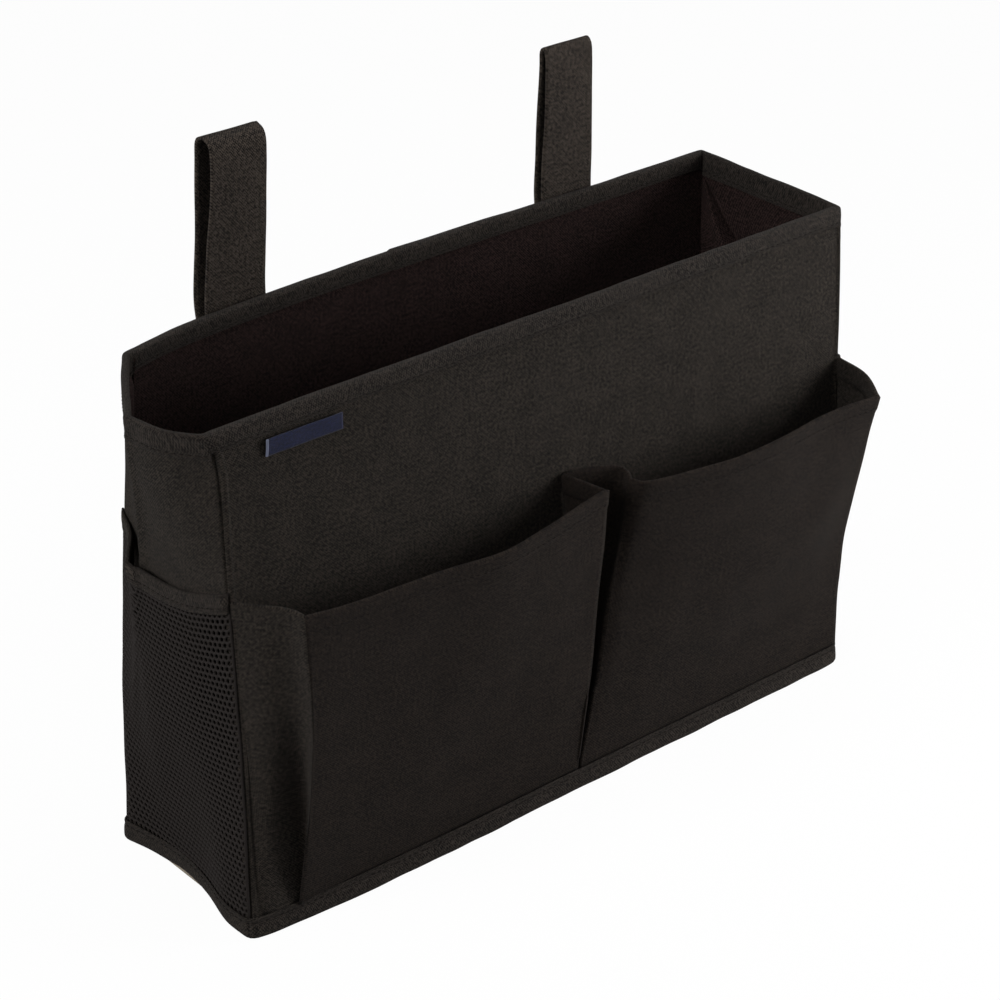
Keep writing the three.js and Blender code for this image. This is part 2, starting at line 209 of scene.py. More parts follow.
def new_piece(name, mesh, material):
    """A finished mesh as an object of the scene."""
    data = bpy.data.meshes.new(name)
    for face in mesh.faces:
        face.smooth = True
    mesh.to_mesh(data)
    mesh.free()
    data.materials.append(material)
    piece = bpy.data.objects.new(name, data)
    bpy.context.scene.collection.objects.link(piece)
    return piece


def cloth(name, rows, across, up, flat, material, thickness, offset=-1, closed=False):
    """A sheet of cloth laid on rows of points, with its flat size as the map of its weave."""
    mesh = bmesh.new()
    columns, steps = len(across) - 1, len(up) - 1
    bmesh.ops.create_grid(mesh, x_segments=columns, y_segments=steps, size=0.5)
    weave = mesh.loops.layers.uv.new("weave")
    spots = {}
    for vert in mesh.verts:
        spots[vert] = round((vert.co.y + 0.5) * steps), round((vert.co.x + 0.5) * columns)
    for face in mesh.faces:
        for loop in face.loops:
            row, column = spots[loop.vert]
            loop[weave].uv = across[column] * flat[0], up[row] * flat[1]
    for vert, spot in spots.items():
        vert.co = rows[spot]
    if closed:
        bmesh.ops.remove_doubles(mesh, verts=mesh.verts, dist=WELD)
    piece = new_piece(name, mesh, material)
    ply = piece.modifiers.new("thickness", "SOLIDIFY")
    ply.thickness = thickness
    ply.offset = offset
    return piece


def linear(colour):
    """An sRGB hex colour as linear red, green, blue and alpha."""
    shares = [int(colour[place : place + 2], 16) / 255 for place in (1, 3, 5)]
    return *(s / 12.92 if s <= 0.04045 else ((s + 0.055) / 1.055) ** 2.4 for s in shares), 1


def new_material(name, settings):
    """A material with some inputs of its shader set, its node tree and that shader."""
    material = bpy.data.materials.new(name)
    material.use_nodes = True
    tree = material.node_tree
    shader = tree.nodes["Principled BSDF"]
    for place, value in settings.items():
        shader.inputs[place].default_value = value
    return material, tree, shader


def add(tree, kind, links, **settings):
    """A node with its settings, and each input linked to a socket or set to a value."""
    node = tree.nodes.new("ShaderNode" + kind)
    for name, value in settings.items():
        setattr(node, name, value)
    for place, source in links.items():
        if isinstance(source, bpy.types.NodeSocket):
            tree.links.new(source, node.inputs[place])
        else:
            node.inputs[place].default_value = source
    return node


def maths(tree, kind, *sources):
    """A sum done on sockets or values."""
    return add(tree, "Math", dict(enumerate(sources)), operation=kind).outputs[0]


def mixed(tree, share, first, second):
    """The colour that lies a share of the way from the first to the second."""
    return add(tree, "Mix", {0: share, 6: first, 7: second}, data_type="RGBA").outputs[2]


def grain(tree, place, scale, detail, roughness):
    """A noise at a place, with about so many swells to a metre."""
    links = {0: place, "Scale": scale, "Detail": detail, "Roughness": roughness}
    return add(tree, "TexNoise", links).outputs[0]


# A weave's thick places come about every second thread, and a faint mottle every twentieth. Both, and
# the crossings, set where between its dark and its pale colour a spot of cloth lies.
SLUB_RELIEF = 1.4
MOTTLE_SHARE = 0.12
CROSSING_SHARE = 0.1
DARK_FLECK = 0.49
PALE_FLECK = 0.65
CLOTH_GLOSS = 0.08


def woven(name, shade, light, pitch, relief, roughness, sheen):
    """Plain-woven cloth: each crossing of its threads is a small pillow, and some threads are thicker."""
    settings = {"Roughness": roughness, "Specular IOR Level": CLOTH_GLOSS, "Sheen Weight": sheen}
    material, tree, shader = new_material(name, settings)
    flat = add(tree, "UVMap", {}, uv_map="weave").outputs[0]
    turns = add(tree, "VectorMath", {0: flat, 1: [math.pi / pitch] * 3}, operation="MULTIPLY").outputs[0]
    swing = add(tree, "VectorMath", {0: turns}, operation="SINE").outputs[0]
    threads = add(tree, "SeparateXYZ", {0: swing}).outputs
    crossing = maths(tree, "MULTIPLY", threads[0], threads[1])
    pillow = maths(tree, "POWER", maths(tree, "ABSOLUTE", crossing), 0.5)
    slubs = grain(tree, flat, scale=0.46 / pitch, detail=5, roughness=0.82)
    mottle = grain(tree, flat, scale=0.05 / pitch, detail=3, roughness=0.6)
    flecks = maths(tree, "MULTIPLY_ADD", mottle, MOTTLE_SHARE, slubs)
    over = maths(tree, "MULTIPLY_ADD", crossing, CROSSING_SHARE, flecks)
    tone = add(tree, "MapRange", {0: over, 1: DARK_FLECK, 2: PALE_FLECK}).outputs[0]
    height = maths(tree, "MULTIPLY_ADD", slubs, SLUB_RELIEF, pillow)
    bump = add(tree, "Bump", {"Height": height, "Distance": relief, "Strength": 1.0}).outputs[0]
    tree.links.new(mixed(tree, tone, linear(shade), linear(light)), shader.inputs["Base Color"])
    tree.links.new(bump, shader.inputs["Normal"])
    return material


# Plain-woven polyester of 600 denier has threads about 0.6 mm apart, some thicker than others. It gives
# a matt black with a grain of paler flecks and a faint sheen at grazing angles.
oxford_cloth = woven(
    "Woven polyester oxford", "#080605", "#3b352f",
    pitch=0.6 * MM, relief=0.25 * MM, roughness=0.85, sheen=0.02,
)


def wall_sections(start, run, end):
    """A wall's sections from the foot to the rim, between two corner seams."""
    return [[a, *between, b] for a, between, b in zip(start, run, end)]


# Each wall's sections, its flat width, how far it swells, and a seed for its swells.
front_wall = wall_sections(front_left, front_run, front_right), FRONT_WIDTH, 0.7 * MM, 1.0
right_wall = wall_sections(front_right, right_run, back_right), END_WIDTH, 1.2 * MM, 4.0
back_wall = wall_sections(back_right, back_run, back_left), FRONT_WIDTH, 0.7 * MM, 2.0
left_wall = wall_sections(back_left, left_run, front_left), END_WIDTH, 1.2 * MM, 3.0


def flared(points):
    """The points with the left front corner drawn out at the rim by the tape."""
    away = np.hypot(points[..., 0] - FLARE_CORNER[0], points[..., 1] - FLARE_CORNER[1])
    near = np.exp(-((away / FLARE_REACH) ** 2))
    at_rim = np.clip((points[..., 2] - FLARE_START) / FLARE_RUN, 0, 1) ** 2
    return points - (near * at_rim * RIM_FLARE)[..., None] * np.array(FLARE_WAY)


def end_fold(across, up):
    """How far the left end stands out along the fold that runs down from its rim towards the back."""
    line = FOLD_FOOT + (FOLD_RIM - FOLD_FOOT) * up
    away = np.abs(across[None, :] - line[:, None]) * END_WIDTH
    grown = np.clip((up - FOLD_START) / FOLD_RUN, 0, 1)
    return FOLD_HEIGHT * grown[:, None] * np.exp(-away / FOLD_WIDTH)


def wall_rows(wall, across, up):
    """Rows of points on a wall, which swells softly between its seams."""
    sections, _, swell, seed = wall
    rows = ruffled(flared(loft(sections, across, up)), SWELL_SIZE, swell, seed)
    rows = ruffled(rows, RIPPLE_SIZE, RIPPLE_SHARE * swell, seed + 5)
    if wall is left_wall:
        rows = rows + outward(rows) * end_fold(across, up)[..., None]
    if wall is front_wall:
        bulge = np.minimum(rows[..., 1] - BOARD_FACE, 0)
        rows[..., 1] -= bulge * (1 - np.exp(-np.maximum(rows[..., 2] - BOARD_FOOT, 0) / FOOT_TURN))
    return rows


def outer_wall(name, wall, columns, welt, node):
    """One outer panel, sewn along its sides."""
    up = np.linspace(0, 1, WALL_ROWS)
    across = close_at_ends(columns)
    rows, across = seamed(wall_rows(wall, across, up), across, wall[1], welt)
    flat = wall[1], WALL_LENGTH
    panel = cloth(name, rows, across, up, flat, oxford_cloth, CLOTH)
    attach(panel, "caddy")
    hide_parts(node)


outer_wall("front_cloth", front_wall, FRONT_COLUMNS, SEAM_WELT, "front_panel")
outer_wall("back_cloth", back_wall, FRONT_COLUMNS, SEAM_WELT, "back_panel")
outer_wall("left_end_cloth", left_wall, END_COLUMNS, 0, "left_side_panel")
outer_wall("right_end_cloth", right_wall, END_COLUMNS, 0, "right_side_panel")

# Stiffeners. A sheet of grey board slipped into each long wall, and one in the base, between the cloth
# and the lining. They don't show, and those in the walls bend as the walls do.

BOARD = 1.6 * MM
BOARD_DEPTH = CLOTH + 0.35 * MM
BOARD_MARGIN = 0.05
BOARD_TOP = 0.985


def fibrous(name, shade, light, per_mm, detail, relief, settings):
    """A material of fine loose fibres, so many to a millimetre, which vary its tone and its relief."""
    material, tree, shader = new_material(name, settings)
    place = add(tree, "TexCoord", {}).outputs["Object"]
    fibre = grain(tree, place, scale=per_mm / MM, detail=detail, roughness=0.5)
    bump = add(tree, "Bump", {"Height": fibre, "Distance": relief}).outputs[0]
    tree.links.new(mixed(tree, fibre, linear(shade), linear(light)), shader.inputs["Base Color"])
    tree.links.new(bump, shader.inputs["Normal"])
    return material


# Board pressed from waste paper is a dull brownish grey, without a shine, with fibres about 1 mm long.
grey_board = fibrous(
    "Uncoated grey board", "#7d7467", "#998f80",
    per_mm=0.9, detail=6, relief=0.1 * MM, settings={"Roughness": 0.95},
)


def grid(columns, rows):
    """Even shares across a sheet and up it."""
    return np.linspace(0, 1, columns), np.linspace(0, 1, rows)


def stiffener(name, wall, node):
    """A board inside a long wall, short of its ends and its rim."""
    across, up = grid(columns=41, rows=25)
    inner = BOARD_MARGIN + across * (1 - 2 * BOARD_MARGIN)
    rows = wall_rows(wall, inner, BOARD_TOP * up)
    rows = rows - outward(rows) * BOARD_DEPTH
    flat = FRONT_WIDTH * (1 - 2 * BOARD_MARGIN), WALL_LENGTH * BOARD_TOP
    board = cloth(name, rows, across, up, flat, grey_board, BOARD)
    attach(board, "caddy")
    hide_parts(node)


stiffener("front_stiffener", front_wall, "front_board")
stiffener("back_stiffener", back_wall, "back_board")

# The base's board is flat, so its CAD solid stays, in the same material.
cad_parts["base_board"].data.materials.clear()
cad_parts["base_board"].data.materials.append(grey_board)

# Lining. The same cloth with its proofed side in, a little darker and smoother, sewn in as four walls
# and a base. At the right end it is loose, and a pleat runs down from the back corner.

LINING = 0.6 * MM
LINING_COLUMNS = 120
LONG_LINING_DEPTH = 3.3 * MM
END_LINING_DEPTH = 0.9 * MM
LONG_TRIM = 0.003
END_TRIM = 0.015

# The pleat starts below the rim, slants forward as it goes down, and fades out above the base.
PLEAT_DROP = 9 * MM
PLEAT_START = 1.5 * MM
PLEAT_SLOPE = 0.8
PLEAT_RISE = 0.38
PLEAT_DEPTH = 11 * MM
PLEAT_REACH = 45 * MM
PLEAT_CREST = 14 * MM
PLEAT_EDGE = 22 * MM
PLEAT_FADE = 0.3

# The back left corner opens wider towards the rim, and the lining there is drawn in below the tape.
WIDE_CORNER = 2.4 * MM
CORNER_REACH = 8 * MM
CORNER_START = 0.4
CORNER_RUN = 0.5
CORNER_TOP = 0.975
CORNER_FADE = 0.02

# The proofing fills the weave, which leaves a flatter, browner black without a sheen.
lining_cloth = woven(
    "Proofed polyester lining", "#0a0706", "#382a28",
    pitch=0.6 * MM, relief=0.2 * MM, roughness=0.9, sheen=0.0,
)


def lining(name, wall, depth, trim, node, shaped=None):
    """A wall of the lining, set in from its outer panel."""
    across = close_at_ends(LINING_COLUMNS)
    up = np.linspace(0, 1, WALL_ROWS)
    rows = wall_rows(wall, trim + across * (1 - 2 * trim), up)
    rows = rows - outward(rows) * depth
    if shaped is not None:
        rows = shaped(rows, across, up)
    flat = wall[1] * (1 - 2 * trim), WALL_LENGTH
    piece = cloth(name, rows, across, up, flat, lining_cloth, LINING)
    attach(piece, "caddy")
    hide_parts(node)


def corner_pleat(rows, across, up):
    """The right end's lining with a pleat that slants down and forward from its back corner."""
    out = outward(rows)
    to_back = unit(np.gradient(rows, axis=1))
    from_back = (1 - across) * END_WIDTH
    marks = [0, PLEAT_CREST, PLEAT_EDGE, END_WIDTH]
    pleated = []
    for row, share in enumerate(up):
        below = max((1 - share) * WALL_LENGTH - PLEAT_DROP, 0)
        fold = PLEAT_START + PLEAT_SLOPE * min(below, PLEAT_REACH)
        faded = min(max(share - PLEAT_FADE, 0) / PLEAT_FADE, 1)
        height = min(PLEAT_RISE * below, PLEAT_DEPTH) * faded
        places = np.interp(from_back, marks, [0, fold - height, fold, END_WIDTH])
        stand = np.interp(from_back, marks, [0, height, 0, 0])[:, None]
        flat = points_at(-places, -from_back, rows[row])
        pleated.append(flat - stand * (out[row] + to_back[row]))
    return np.array(pleated)


def wide_corner(rows, across, up):
    """The left end's lining, drawn in at its back corner, which opens wider towards the rim."""
    near = np.exp(-((across * END_WIDTH / CORNER_REACH) ** 2))
    grown = np.clip((up - CORNER_START) / CORNER_RUN, 0, 1)
    high = grown * np.clip((CORNER_TOP - up) / CORNER_FADE, 0, 1)
    return rows - outward(rows) * (WIDE_CORNER * high[:, None] * near[None, :])[..., None]


lining("front_lining_cloth", front_wall, LONG_LINING_DEPTH, LONG_TRIM, "front_lining")
lining("back_lining_cloth", back_wall, LONG_LINING_DEPTH, LONG_TRIM, "back_lining")
lining("left_lining_cloth", left_wall, END_LINING_DEPTH, END_TRIM, "left_side_lining", wide_corner)
lining("right_lining_cloth", right_wall, END_LINING_DEPTH, END_TRIM, "right_side_lining", corner_pleat)

BASE_SHEET = 0.7 * MM
BASE_LINING_HEIGHT = 3.8 * MM
BASE_CLOTH_HEIGHT = 0.35 * MM


def base_sheet(name, height, offset, material, node):
    """A level sheet of cloth over the whole base."""
    across, up = grid(columns=67, rows=21)
    low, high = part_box(node)
    edges = [[(x / MM, y / MM, height / MM) for x in (low.x, high.x)] for y in (low.y, high.y)]
    rows = ruffled(loft(edges, across, up), size=50 * MM, depth=0.25 * MM, seed=10.0)
    flat = high.x - low.x, high.y - low.y
    sheet = cloth(name, rows, across, up, flat, material, BASE_SHEET, offset)
    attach(sheet, "caddy")
    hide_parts(node)


base_sheet("base_lining_cloth", BASE_LINING_HEIGHT, -1, lining_cloth, "base_lining")
base_sheet("base_cloth", BASE_CLOTH_HEIGHT, 1, oxford_cloth, "base_panel")

# Bound edges. One length of ribbed polyester tape is folded over the rim and one under the base, and
# each is sewn through every layer with a single row of stitches. The rim's tape ends in a lap behind.

TAPE = 0.5 * MM
TAPE_LENGTH = 850 * MM
TAPE_STEPS = 620
RING_STEPS = 60
PROFILE_STEPS = 4
SEWN_ROW = 2 * PROFILE_STEPS
END_WALL = 1.5 * MM
LONG_WALL = 3.9 * MM
BOARDED_FROM = 0.7
BOARDED_RUN = 0.2
INNER_EASING = 6
STITCH = 3.2 * MM
STITCH_HALF = 0.35 * STITCH
THREAD = 0.4 * MM
THREAD_PRESSED = 0.45
THREAD_OUT = 0.1 * MM

# Ribbed tape of the same yarn takes the light a little more evenly than the cloth.
binding_tape = woven(
    "Ribbed polyester tape", "#090706", "#39332e",
    pitch=0.6 * MM, relief=0.22 * MM, roughness=0.8, sheen=0.02,
)

# Spun thread is twisted from short fibres, so it is dull, with fine slanting bands.
sewing_thread, thread_tree, thread_shader = new_material(
    "Spun polyester thread", {"Roughness": 0.9, "Specular IOR Level": 0.1}
)
thread_place = add(thread_tree, "TexCoord", {}).outputs["Object"]
thread_twist = add(thread_tree, "TexWave", {0: thread_place, "Scale": 0.9 / MM, "Distortion": 2})
thread_tone = mixed(thread_tree, thread_twist.outputs[0], linear("#0e0b0a"), linear("#1e1917"))
thread_tree.links.new(thread_tone, thread_shader.inputs["Base Color"])


def stitches(name, line, out, lifted=THREAD_OUT):
    """A row of stitches along a line of points, each a short rounded length of thread."""
    line = line + lifted * out
    places = reached(line)
    count = int(places[-1] / STITCH)
    middles = (np.arange(count) + 0.5) * places[-1] / count
    starts = points_at(middles - STITCH_HALF, places, line)
    ends = points_at(middles + STITCH_HALF, places, line)
    mesh = bmesh.new()
    for spots in zip(starts, ends, points_at(middles, places, out)):
        start, end, face = (Vector(spot) for spot in spots)
        run = end - start
        side = run.cross(face).normalized() * THREAD / 2
        lift = side.cross(run).normalized() * THREAD * THREAD_PRESSED
        place = Matrix((run / 2, side, lift)).transposed().to_4x4()
        place.translation = (start + end) / 2
        bmesh.ops.create_icosphere(mesh, subdivisions=1, radius=1, matrix=place)
    bmesh.ops.recalc_face_normals(mesh, faces=mesh.faces)
    row = new_piece(name, mesh, sewing_thread)
    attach(row, "caddy")
    return row


def eased(ring, passes):
    """A closed ring of points with its corners eased."""
    for _ in range(passes):
        ring = (np.roll(ring, 1, axis=0) + 2 * ring + np.roll(ring, -1, axis=0)) / 4
    return ring


def rings(levels, passes):
    """Closed rings of evenly spaced points round all four walls at shares of their height, eased."""
    even = np.linspace(0, 1, RING_STEPS)
    walls = front_wall, right_wall, back_wall, left_wall
    runs = [wall_rows(wall, even, levels)[:, :-1] for wall in walls]
    result = []
    for ring in np.concatenate([*runs, runs[0][:, :1]], axis=1):
        places = reached(ring)
        goals = np.arange(TAPE_STEPS) * places[-1] / TAPE_STEPS
        result.append(eased(points_at(goals, places, ring), passes))
    return np.array(result)


def beside(run):
    """The level direction to the right of each run."""
    return unit(np.column_stack((run[:, 1], -run[:, 0], np.zeros(len(run)))))


def level_out(ring):
    """The level direction out of a closed ring at each of its points."""
    return beside(np.roll(ring, -1, axis=0) - np.roll(ring, 1, axis=0))


def traced(profile):
    """Shares along a smooth profile, in equal steps between its points, and what lies at them."""
    points = [np.array(point, float) for point in profile]
    shares = np.linspace(0, 1, PROFILE_STEPS * (len(profile) - 1) + 1)
    return shares, [through(points, share) for share in shares]


def swept(profile, levels, edge, wider, passes):
    """Rows of points for a tape round the walls at their rim or foot, and the ways out of its last row.

    The profile's points are its place out from the wall, up from the edge, and through the wall from 0
    to 1. At the ends of the caddy the flaps reach down further, by a share of their depth.
    """
    walls = rings(levels, passes)

    def round_walls(rise):
        """The ring of points at a height from the edge, which stops at the edge itself."""
        place = np.interp(edge + rise * MM / WALL_LENGTH, levels, np.arange(len(levels)))
        below = min(int(place), len(levels) - 2)
        return walls[below] + (walls[below + 1] - walls[below]) * (place - below)

    rows = []
    for aside, rise, inner in traced(profile)[1]:
        at_long = round_walls(rise)
        at_end = round_walls(rise * (1 + wider) if rise < 0 else rise)
        faces_front = np.abs(level_out(at_long)[:, 1])
        boarded = np.clip((faces_front - BOARDED_FROM) / BOARDED_RUN, 0, 1)[:, None]
        row = at_end + (at_long - at_end) * boarded
        out = level_out(row)
        row = row + out * (aside * MM - inner * (END_WALL + (LONG_WALL - END_WALL) * boarded))
        past_edge = rise if rise * (0.5 - edge) < 0 else 0
        row = eased(row + np.array((0, 0, past_edge * MM)), int(INNER_EASING * inner))
        rows.append(np.concatenate((row, row[:1])))
    return np.array(rows), np.concatenate((out, out[:1]))


def bound_edge(name, rows, width, node):
    """One length of tape round the walls, folded and sewn."""
    across, up = grid(columns=TAPE_STEPS + 1, rows=len(rows))
    flat = TAPE_LENGTH, width
    tape = cloth(name, rows, across, up, flat, binding_tape, TAPE, closed=True)
    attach(tape, "caddy")
    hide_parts(node)


# The rim's tape: its width, how far its flaps reach down and where they are sewn, in millimetres, and
# where on the back its end laps over.
RIM_TAPE_WIDTH = 20 * MM
RIM_FLAP = 5.8
RIM_SEWN = 4.6
RIM_INNER_FLAP = 5.6
RIM_INNER_SEWN = 4.2
RIM_LEVELS = np.linspace(0.92, 1, 9)
RIM_EASING = 2
WIDER_AT_ENDS = 0.7
BACK_Y = 30 * MM
LAP_X = -11 * MM
LAP_RUN = 70 * MM
LAP_STEP = 0.5 * MM

rim_profile = [
    (0.65, -RIM_FLAP, 0), (0.7, -RIM_SEWN - 0.5, 0), (0.55, -RIM_SEWN, 0), (0.65, -RIM_SEWN + 0.9, 0),
    (0.65, -1.5, 0), (0.6, 0.6, 0), (0.25, 1.6, 0.1), (0, 1.9, 0.5), (-0.25, 1.6, 0.9), (-0.6, 0.6, 1),
    (-0.65, -1.5, 1), (-0.65, -RIM_INNER_SEWN + 0.9, 1), (-0.55, -RIM_INNER_SEWN, 1),
    (-0.7, -RIM_INNER_SEWN - 0.6, 1), (-0.65, -RIM_INNER_FLAP, 1),
]
rim_rows, rim_out = swept(rim_profile, RIM_LEVELS, edge=1, wider=WIDER_AT_ENDS, passes=RIM_EASING)
on_back = (rim_rows[0, :, 1] > BACK_Y) & (rim_rows[0, :, 0] > LAP_X)
past_lap = np.clip((rim_rows[0, :, 0] - LAP_X) / LAP_RUN, 0, 1)
lap = np.where(on_back, LAP_STEP * (1 - past_lap), 0)
rim_rows = rim_rows + outward(rim_rows) * lap[None, :, None]
rim_rows = ruffled(rim_rows, size=14 * MM, depth=0.25 * MM, seed=11.0)
bound_edge("rim_tape", rim_rows, RIM_TAPE_WIDTH, "rim_binding")
stitches("rim_stitches", rim_rows[SEWN_ROW], rim_out)
stitches("rim_inside_stitches", rim_rows[-1 - SEWN_ROW], -rim_out)

# The base's tape: its width, how far its outer flap reaches up and where it is sewn, in millimetres.
BASE_TAPE_WIDTH = 17 * MM
BASE_FLAP = 9.2
BASE_SEWN = 7.0
BASE_THREAD_OUT = 0.15 * MM
BASE_LEVELS = np.linspace(0, 0.06, 7)
BASE_EASING = 4
FLOOR_GAP = 0.05 * MM

base_profile = [
    (-5.0, -0.9, 0), (-2.0, -0.95, 0), (0.8, -0.8, 0), (1.9, 0.2, 0), (2.2, 2.5, 0),
    (2.1, BASE_SEWN - 1.4, 0), (1.8, BASE_SEWN, 0), (2.0, BASE_SEWN + 1.1, 0), (1.8, BASE_FLAP, 0),
]
base_rows, base_out = swept(base_profile, BASE_LEVELS, edge=0, wider=0, passes=BASE_EASING)
base_rows = ruffled(base_rows, size=16 * MM, depth=0.35 * MM, seed=12.0)
base_rows[..., 2] = np.maximum(base_rows[..., 2], FLOOR_GAP)
bound_edge("base_tape", base_rows, BASE_TAPE_WIDTH, "base_binding")
stitches("base_stitches", base_rows[-1 - SEWN_ROW], base_out, BASE_THREAD_OUT)

# End pockets. Knitted polyester net with small six-sided holes, sewn in with the corner seams and the
# base tape. Its top edge is bound with folded tape and stands away from the wall.

NET_HOLE_PITCH = 2.9 * MM
NET_ROW_PITCH = 2.6 * MM
NET_STRAND = 1.95 * MM
NET_LEAN = 0.17
NET_FOOT = 9 * MM
NET_TOP = 148 * MM
NET_STEPS = 96
NET_LEVELS = np.linspace(0, 0.75, 121)
NET_INSET = 0.006
NET_FOOT_STAND = 0.1
NET_CLEAR = 0.4 * MM
NET_CLEAR_STEPS = 2
HEM = 8
HEM_TAPE = 0.6 * MM

# How far each net stands off its wall, at shares of the way from seam to seam, and how high it reaches
# below its tape, both in millimetres.
left_net_stand = {
    0: -0.8, 0.02: -0.2, 0.08: 0.6, 0.19: 2.4, 0.3: 4.4, 0.42: 3.2, 0.6: 1.6, 0.97: 0.5, 1: -0.6,
}
left_net_top = {0: 151, 0.08: 148.5, 0.2: 145, 0.4: 142, 0.6: 142.5, 0.75: 144.5, 0.9: 148.5, 1: 151.5}
right_net_stand = {
    0: -0.8, 0.03: 0.4, 0.2: 2, 0.35: 3.2, 0.5: 3.6, 0.65: 3.2, 0.8: 2, 0.97: 0.4, 1: -0.8,
}
right_net_top = {0: 148.5, 0.2: 145, 0.5: 143, 0.8: 145, 1: 148.5}

# Knitted yarn is smoother than the cloth, with a soft shine along its round strands.
net_yarn = fibrous(
    "Knitted polyester net", "#0c0908", "#1e1815",
    per_mm=1.6, detail=4, relief=0.25 * MM, settings={"Roughness": 0.75, "Specular IOR Level": 0.2},
)


def net_surface(wall, stand, top):
    """Rows of points of a net, set off from the wall behind it."""
    across = np.linspace(NET_INSET, 1 - NET_INSET, NET_STEPS + 1)
    behind = wall_rows(wall, across, NET_LEVELS)
    out = outward(behind)
    level = np.linspace(0, 1, NET_STEPS + 1)
    stands = np.interp(across, list(stand), list(stand.values())) * MM
    tops = np.interp(across, list(top), list(top.values())) * MM
    surface = np.empty((NET_STEPS + 1, NET_STEPS + 1, 3))
    for column, (away, highest) in enumerate(zip(stands, tops)):
        heights = behind[:, column, 2]
        goal = NET_FOOT + (highest - NET_FOOT) * level
        off = away * np.where(away > 0, NET_FOOT_STAND + (1 - NET_FOOT_STAND) * level**2, 1)
        from_seam = min(column, NET_STEPS - column, NET_CLEAR_STEPS)
        off = off + NET_CLEAR * from_seam / NET_CLEAR_STEPS
        surface[:, column] = points_at(goal, heights, behind[:, column])
        surface[:, column] += off[:, None] * points_at(goal, heights, out[:, column])
    return surface


def honeycomb(name, surface):
    """A net of six-sided holes, laid on a surface."""
    columns = 2 * round(END_WIDTH / NET_HOLE_PITCH)
    rows = round((NET_TOP - NET_FOOT) / NET_ROW_PITCH)
    mesh = bmesh.new()
    bmesh.ops.create_grid(mesh, x_segments=columns, y_segments=rows, size=0.5)
    spots = {}
    for vert in mesh.verts:
        spots[vert] = round((vert.co.x + 0.5) * columns), round((vert.co.y + 0.5) * rows)
    open_edges = []
    for edge in mesh.edges:
        (a, b), (c, d) = spots[edge.verts[0]], spots[edge.verts[1]]
        if a == c and 0 < a < columns and (a + min(b, d)) % 2:
            open_edges.append(edge)
    for vert, (column, row) in spots.items():
        lean = 0 if row in (0, rows) else (NET_LEAN if (column + row) % 2 else -NET_LEAN)
        u = NET_STEPS * column / columns
        v = NET_STEPS * min(max((row - lean) / rows, 0), 1)
        i, j = min(int(u), NET_STEPS - 1), min(int(v), NET_STEPS - 1)
        s, t = u - i, v - j
        near = surface[j, i] * (1 - s) + surface[j, i + 1] * s
        far = surface[j + 1, i] * (1 - s) + surface[j + 1, i + 1] * s
        vert.co = near * (1 - t) + far * t
    bmesh.ops.dissolve_edges(mesh, edges=open_edges, use_verts=False, use_face_split=False)
    bmesh.ops.wireframe(
        mesh, faces=mesh.faces, thickness=NET_STRAND, offset=0,
        use_replace=True, use_boundary=True, use_even_offset=False,
    )
    return new_piece(name, mesh, net_yarn)


# The folded tape's place out from the net and up from its top edge, in millimetres.
hem_profile = [
    (0.9, -0.8), (1.05, 0.8), (0.9, 2.0), (1.1, 3.6), (1.0, HEM - 1.5), (0.7, HEM - 0.3), (0, HEM),
    (-0.7, HEM - 0.4), (-0.9, HEM - 2), (-0.8, 2.0), (-0.8, -0.4),
]


def end_pocket(side, wall, stand, top):
    """One end pocket: the net and the folded tape along its top edge."""
    surface = net_surface(wall, stand, top)
    net = honeycomb(side + "_mesh", surface)
    soften = net.modifiers.new("round strands", "SUBSURF")
    soften.levels = 1
    soften.render_levels = 1
    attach(net, "caddy")
    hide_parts(side + "_net")

    edge = surface[-1]
    out = beside(np.gradient(edge, axis=0))
    across = np.linspace(0, 1, NET_STEPS + 1)
    up, places = traced(hem_profile)
    rows = [edge + out * aside * MM + np.array((0, 0, rise * MM)) for aside, rise in places]
    rows = ruffled(np.array(rows), size=15 * MM, depth=0.45 * MM, seed=13.0)
    flat = END_WIDTH, 2 * HEM * MM
    hem = cloth(side + "_net_hem", rows, across, up, flat, binding_tape, HEM_TAPE)
    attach(hem, "caddy")
    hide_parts(side + "_net_binding")
    stitches(side + "_net_stitches", rows[SEWN_ROW], out)


end_pocket("left", left_wall, left_net_stand, left_net_top)
end_pocket("right", right_wall, right_net_stand, right_net_top)

# Front pockets. Each is one piece of the same cloth, folded into a pleat at both ends so that it stands
# out from the front, with a sewn hem along the top. Its foot is caught under the base tape.

POCKET_LENGTH = 147 * MM
POCKET_FOLD = 0.4 * MM
POCKET_CLOTH = 0.5 * MM
POCKET_STEPS = 60
OUTER_PLEAT_STEPS = 16
INNER_PLEAT_STEPS = 14
POCKET_FRONT_STEPS = 90

# The cloth is held flat by its side seams and its foot, and it swells away from them.
HELD_AT_SEAMS = 30 * MM
HELD_AT_FOOT = 0.25

# The hem stands out a little over its rows, turns over at the top and comes down inside, where its rows
# lie so many millimetres behind the front.
HEM_ROWS = 4
HEM_OUT = 0.4 * MM
HEM_EDGE = 0.2
HEM_THICK = 1.8
HEM_BEHIND = HEM_THICK, HEM_THICK, 1.6, 0.9
HEM_TURN = 0.002

# The pockets' fronts and inner pleats take a smoother copy of the cloth in darker colours; the darker
# colours are painted shade, which the fronts get as they lean out. The pleats at the outer ends keep the
# wall's cloth.
shaded_pocket_oxford = woven(
    "Woven polyester oxford, darker for painted shade", "#080605", "#2b241f",
    pitch=0.6 * MM, relief=0.18 * MM, roughness=0.85, sheen=0.01,
)

